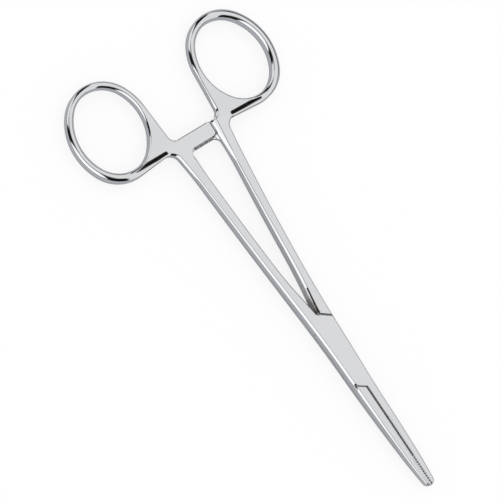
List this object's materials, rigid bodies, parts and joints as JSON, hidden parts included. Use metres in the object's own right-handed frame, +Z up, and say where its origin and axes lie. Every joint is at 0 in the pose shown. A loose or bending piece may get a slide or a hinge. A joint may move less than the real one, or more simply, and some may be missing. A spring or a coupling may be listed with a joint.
{
  "type": "hemostat forceps",
  "caption": "Straight locking surgical clamp: two ring-handled halves crossing in a box lock, with a ratchet between the shanks and cross-toothed tapering jaws.",
  "frame": {"origin": "on the pivot axis, at the underside of the box, which is the instrument's lowest face", "axes": "+X along the instrument to the jaw tips, +Y to the finger ring of the half that passes through the box, +Z up along the pivot"},
  "size_m": [0.1404, 0.0661, 0.005],
  "materials": {
    "polished_steel": "mirror polished",
    "pin_steel": "ground flush and polished"
  },
  "bodies": {
    "female": {"female_half": "polished_steel", "pivot_pin": "pin_steel"},
    "male": {"male_half": "polished_steel"}
  },
  "joints": [
    {"name": "pivot", "type": "hinge", "parent": "female", "child": "male", "pos_m": [0, 0, 0.0025], "axis": [0, 0, -1], "range_deg": [0, 60]}
  ]
}
